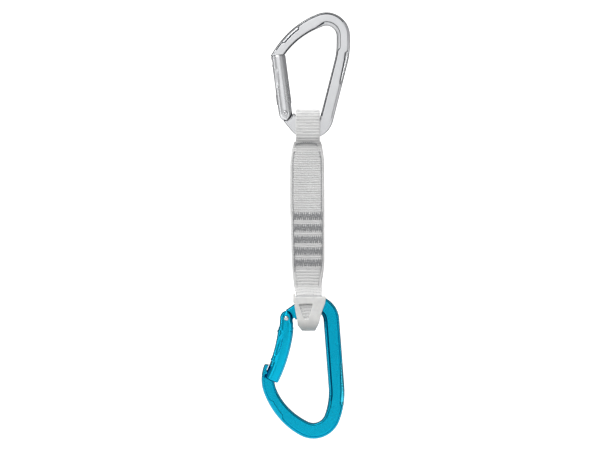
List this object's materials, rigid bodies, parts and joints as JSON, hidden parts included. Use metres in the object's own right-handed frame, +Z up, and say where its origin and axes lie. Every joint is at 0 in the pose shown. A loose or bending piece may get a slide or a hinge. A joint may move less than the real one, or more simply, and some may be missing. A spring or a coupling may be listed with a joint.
{
  "type": "climbing quickdraw",
  "caption": "Climbing quickdraw: a sewn white sling between a silver straight-gate carabiner and a turquoise bent-gate carabiner held by a rubber keeper.",
  "frame": {"origin": "lowest point of the inside of the upper carabiner's basket, where the quickdraw hangs, on the middle plane", "axes": "+Z up along the sling, +X towards the spines, +Y from the front face to the back"},
  "size_m": [0.0678, 0.019, 0.3266],
  "materials": {
    "silver_anodised": "satin anodised",
    "turquoise_anodised": "glossy anodised",
    "stainless_steel": "polished",
    "spring_steel": "drawn wire",
    "white_polyester": "ribbed webbing",
    "grey_thread": "twisted thread",
    "white_rubber": "smooth moulded"
  },
  "bodies": {
    "upper_carabiner": {"upper_frame": "silver_anodised", "upper_rivet": "stainless_steel"},
    "upper_gate_body": {"upper_gate": "silver_anodised"},
    "upper_plunger_body": {"upper_plunger": "stainless_steel", "upper_spring": "spring_steel"},
    "sling_top": {"sling_upper_loop": "white_polyester", "end_seam": "grey_thread"},
    "sling_middle": {"sling_body": "white_polyester", "bar_tacks": "grey_thread", "edge_stitching": "grey_thread"},
    "lower_carabiner": {"sling_lower_loop": "white_polyester", "keeper": "white_rubber", "lower_frame": "turquoise_anodised", "lower_rivet": "stainless_steel"},
    "lower_gate_body": {"lower_gate": "turquoise_anodised"},
    "lower_plunger_body": {"lower_plunger": "stainless_steel", "lower_spring": "spring_steel"}
  },
  "joints": [
    {"name": "upper_gate_hinge", "type": "hinge", "parent": "upper_carabiner", "child": "upper_gate_body", "pos_m": [-0.03026, 0, -0.06676], "axis": [0, 1, 0], "range_deg": [0, 27], "stiffness_Nm_per_rad": 0.2, "springref_deg": -34.38},
    {"name": "upper_plunger_slide", "type": "slide", "parent": "upper_gate_body", "child": "upper_plunger_body", "axis": [-0.1288, 0, 0.9917], "range_m": [0, 0.0009], "deforming": ["upper_spring"]},
    {"name": "upper_loop_swivel", "type": "hinge", "parent": "upper_carabiner", "child": "sling_top", "pos_m": [-0.01177, 0, -0.06802], "axis": [0, 1, 0], "range_deg": [-10, 10]},
    {"name": "sling_top_flex", "type": "hinge", "parent": "sling_top", "child": "sling_middle", "pos_m": [-0.0132, 0, -0.0945], "axis": [1, 0, 0], "range_deg": [-45, 45]},
    {"name": "sling_foot_flex", "type": "hinge", "parent": "sling_middle", "child": "lower_carabiner", "pos_m": [-0.0132, 0, -0.197], "axis": [1, 0, 0], "range_deg": [-45, 45]},
    {"name": "lower_gate_hinge", "type": "hinge", "parent": "lower_carabiner", "child": "lower_gate_body", "pos_m": [-0.02954, 0, -0.22362], "axis": [0, -1, 0], "range_deg": [0, 25], "stiffness_Nm_per_rad": 0.2, "springref_deg": -34.38},
    {"name": "lower_plunger_slide", "type": "slide", "parent": "lower_gate_body", "child": "lower_plunger_body", "axis": [-0.0715, 0, -0.9974], "range_m": [0, 0.0009], "deforming": ["lower_spring"]}
  ],
  "couplings": [
    {"joint": "upper_plunger_slide", "follows": "upper_gate_hinge", "m_per_rad": 0.0018},
    {"joint": "lower_plunger_slide", "follows": "lower_gate_hinge", "m_per_rad": 0.0018}
  ]
}
